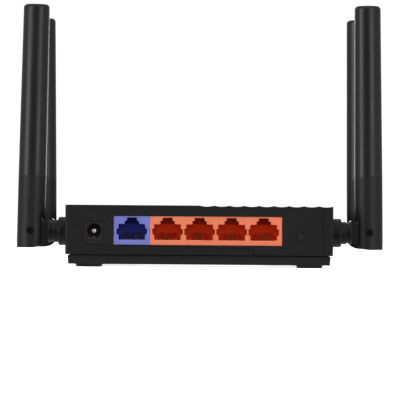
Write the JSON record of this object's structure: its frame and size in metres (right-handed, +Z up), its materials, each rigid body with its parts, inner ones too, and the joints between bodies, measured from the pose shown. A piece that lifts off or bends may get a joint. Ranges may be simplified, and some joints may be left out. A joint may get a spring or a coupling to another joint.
{
  "type": "wireless router",
  "caption": "Flat black wireless router with folding side antennas, a row of coloured network sockets, a power socket and a recessed button in its rear wall.",
  "frame": {"origin": "on the supporting surface, under the centre of the router", "axes": "+Z up, -Y out of the rear wall with the sockets, +X to the right when looking at that wall"},
  "size_m": [0.1628, 0.106, 0.1164],
  "materials": {
    "cover_plastic": "fine spark-eroded texture, satin",
    "lower_plastic": "fine spark-eroded texture, matt",
    "hinge_plastic": "smooth satin moulding",
    "fork_plastic": "smooth satin moulding",
    "sleeve_plastic": "smooth semi-gloss moulding",
    "pin_plastic": "smooth moulding",
    "foot_rubber": "matt moulded rubber",
    "wan_plastic": "smooth satin moulding",
    "lan_plastic": "smooth satin moulding",
    "jack_plastic": "smooth moulding",
    "button_plastic": "smooth satin moulding",
    "switch_plastic": "smooth moulding",
    "clip_acetal": "natural acetal",
    "screw_steel": "zinc-plated",
    "tinned_steel": "tin-plated sheet",
    "heatsink_aluminium": "extruded, anodised",
    "capacitor_aluminium": "drawn can",
    "pin_nickel": "nickel-plated",
    "contact_gold": "gold-plated",
    "radiator_brass": "drawn tube",
    "board_laminate": "green solder resist",
    "chip_epoxy": "moulding compound",
    "ferrite": "pressed ferrite",
    "thermal_silicone": "soft silicone sheet",
    "led_resin": "clear resin",
    "clear_acrylic": "polished acrylic",
    "label_film": "blank matt film",
    "lead_jacket": "extruded coaxial jacket"
  },
  "bodies": {
    "case": {"top_cover": "cover_plastic", "bottom_case": "lower_plastic", "underside_label": "label_film", "rubber_feet": "foot_rubber", "case_screws": "screw_steel", "circuit_board": "board_laminate", "board_screws": "screw_steel", "processor_chip": "chip_epoxy", "thermal_pad": "thermal_silicone", "heatsink": "heatsink_aluminium", "memory_chip": "chip_epoxy", "flash_chip": "chip_epoxy", "radio_chips": "chip_epoxy", "shield_cans": "tinned_steel", "network_transformers": "chip_epoxy", "electrolytic_capacitors": "capacitor_aluminium", "power_inductor": "ferrite", "crystal": "tinned_steel", "status_leds": "led_resin", "light_guide": "clear_acrylic", "wan_socket_housing": "wan_plastic", "wan_socket_contacts": "contact_gold", "lan_socket_housing": "lan_plastic", "lan_socket_contacts": "contact_gold", "power_jack_housing": "jack_plastic", "power_jack_pin": "pin_nickel", "power_jack_contact": "pin_nickel", "reset_switch_body": "switch_plastic", "retaining_clips": "clip_acetal", "case_antenna_leads": "lead_jacket"},
    "reset_button": {"reset_button_cap": "button_plastic", "switch_plunger": "switch_plastic"},
    "rear_left_swivel": {"rear_left_swivel_base": "hinge_plastic"},
    "rear_left_antenna": {"rear_left_antenna_fork": "fork_plastic", "rear_left_antenna_sleeve": "sleeve_plastic", "rear_left_hinge_pin": "pin_plastic", "rear_left_radiator": "radiator_brass", "rear_left_sleeve_lead": "lead_jacket"},
    "rear_right_swivel": {"rear_right_swivel_base": "hinge_plastic"},
    "rear_right_antenna": {"rear_right_antenna_fork": "fork_plastic", "rear_right_antenna_sleeve": "sleeve_plastic", "rear_right_hinge_pin": "pin_plastic", "rear_right_radiator": "radiator_brass", "rear_right_sleeve_lead": "lead_jacket"},
    "front_left_swivel": {"front_left_swivel_base": "hinge_plastic"},
    "front_left_antenna": {"front_left_antenna_fork": "fork_plastic", "front_left_antenna_sleeve": "sleeve_plastic", "front_left_hinge_pin": "pin_plastic", "front_left_radiator": "radiator_brass", "front_left_sleeve_lead": "lead_jacket"},
    "front_right_swivel": {"front_right_swivel_base": "hinge_plastic"},
    "front_right_antenna": {"front_right_antenna_fork": "fork_plastic", "front_right_antenna_sleeve": "sleeve_plastic", "front_right_hinge_pin": "pin_plastic", "front_right_radiator": "radiator_brass", "front_right_sleeve_lead": "lead_jacket"}
  },
  "joints": [
    {"name": "reset_press", "type": "slide", "parent": "case", "child": "reset_button", "axis": [0, 1, 0], "range_m": [0, 0.0004], "stiffness_N_per_m": 900},
    {"name": "rear_left_turn", "type": "hinge", "parent": "case", "child": "rear_left_swivel", "pos_m": [-0.0604, -0.033, 0.0155], "axis": [1, 0, 0], "range_deg": [-15, 90]},
    {"name": "rear_left_fold", "type": "hinge", "parent": "rear_left_swivel", "child": "rear_left_antenna", "pos_m": [-0.0749, -0.033, 0.0155], "axis": [0, -1, 0], "range_deg": [0, 91]},
    {"name": "rear_right_turn", "type": "hinge", "parent": "case", "child": "rear_right_swivel", "pos_m": [0.0604, -0.033, 0.0155], "axis": [1, 0, 0], "range_deg": [-15, 90]},
    {"name": "rear_right_fold", "type": "hinge", "parent": "rear_right_swivel", "child": "rear_right_antenna", "pos_m": [0.0749, -0.033, 0.0155], "axis": [0, 1, 0], "range_deg": [-0.35, 90.65]},
    {"name": "front_left_turn", "type": "hinge", "parent": "case", "child": "front_left_swivel", "pos_m": [-0.0604, 0.033, 0.0155], "axis": [1, 0, 0], "range_deg": [-90, 15]},
    {"name": "front_left_fold", "type": "hinge", "parent": "front_left_swivel", "child": "front_left_antenna", "pos_m": [-0.0749, 0.033, 0.0155], "axis": [0, -1, 0], "range_deg": [-1.5, 89.5]},
    {"name": "front_right_turn", "type": "hinge", "parent": "case", "child": "front_right_swivel", "pos_m": [0.0604, 0.033, 0.0155], "axis": [1, 0, 0], "range_deg": [-90, 15]},
    {"name": "front_right_fold", "type": "hinge", "parent": "front_right_swivel", "child": "front_right_antenna", "pos_m": [0.0749, 0.033, 0.0155], "axis": [0, 1, 0], "range_deg": [-0.35, 90.65]}
  ]
}
